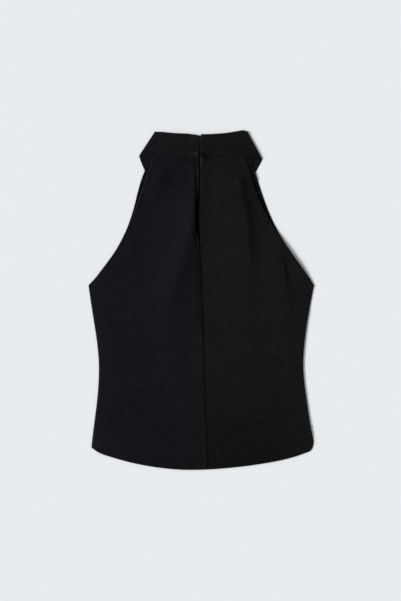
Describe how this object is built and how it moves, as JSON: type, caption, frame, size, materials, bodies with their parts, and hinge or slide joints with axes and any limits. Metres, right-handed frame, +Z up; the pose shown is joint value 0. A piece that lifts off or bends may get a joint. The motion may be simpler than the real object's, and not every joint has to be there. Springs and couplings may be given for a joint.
{
  "type": "halter neck top lying flat",
  "caption": "Sleeveless halter neck top in black crepe knit with a fold-over collar and a centre back slit, lying flat on its front.",
  "frame": {"origin": "middle of the outline, on the surface that the top lies on", "axes": "+Y from hem to collar, +X towards the wearer's right, +Z up off the surface, out of the back of the top"},
  "size_m": [0.392, 0.5899, 0.0086],
  "materials": {
    "crepe_knit": "matte crepe knit with a fine grain",
    "collar_crepe": "the same matte crepe knit, folded double",
    "black_wire": "black enamelled wire"
  },
  "bodies": {
    "root": {"front": "crepe_knit", "back_left": "crepe_knit", "back_right": "crepe_knit", "underlap": "crepe_knit", "collar": "collar_crepe", "hook_top": "black_wire", "eye_top": "black_wire", "hook_bottom": "black_wire", "eye_bottom": "black_wire"}
  },
  "joints": []
}
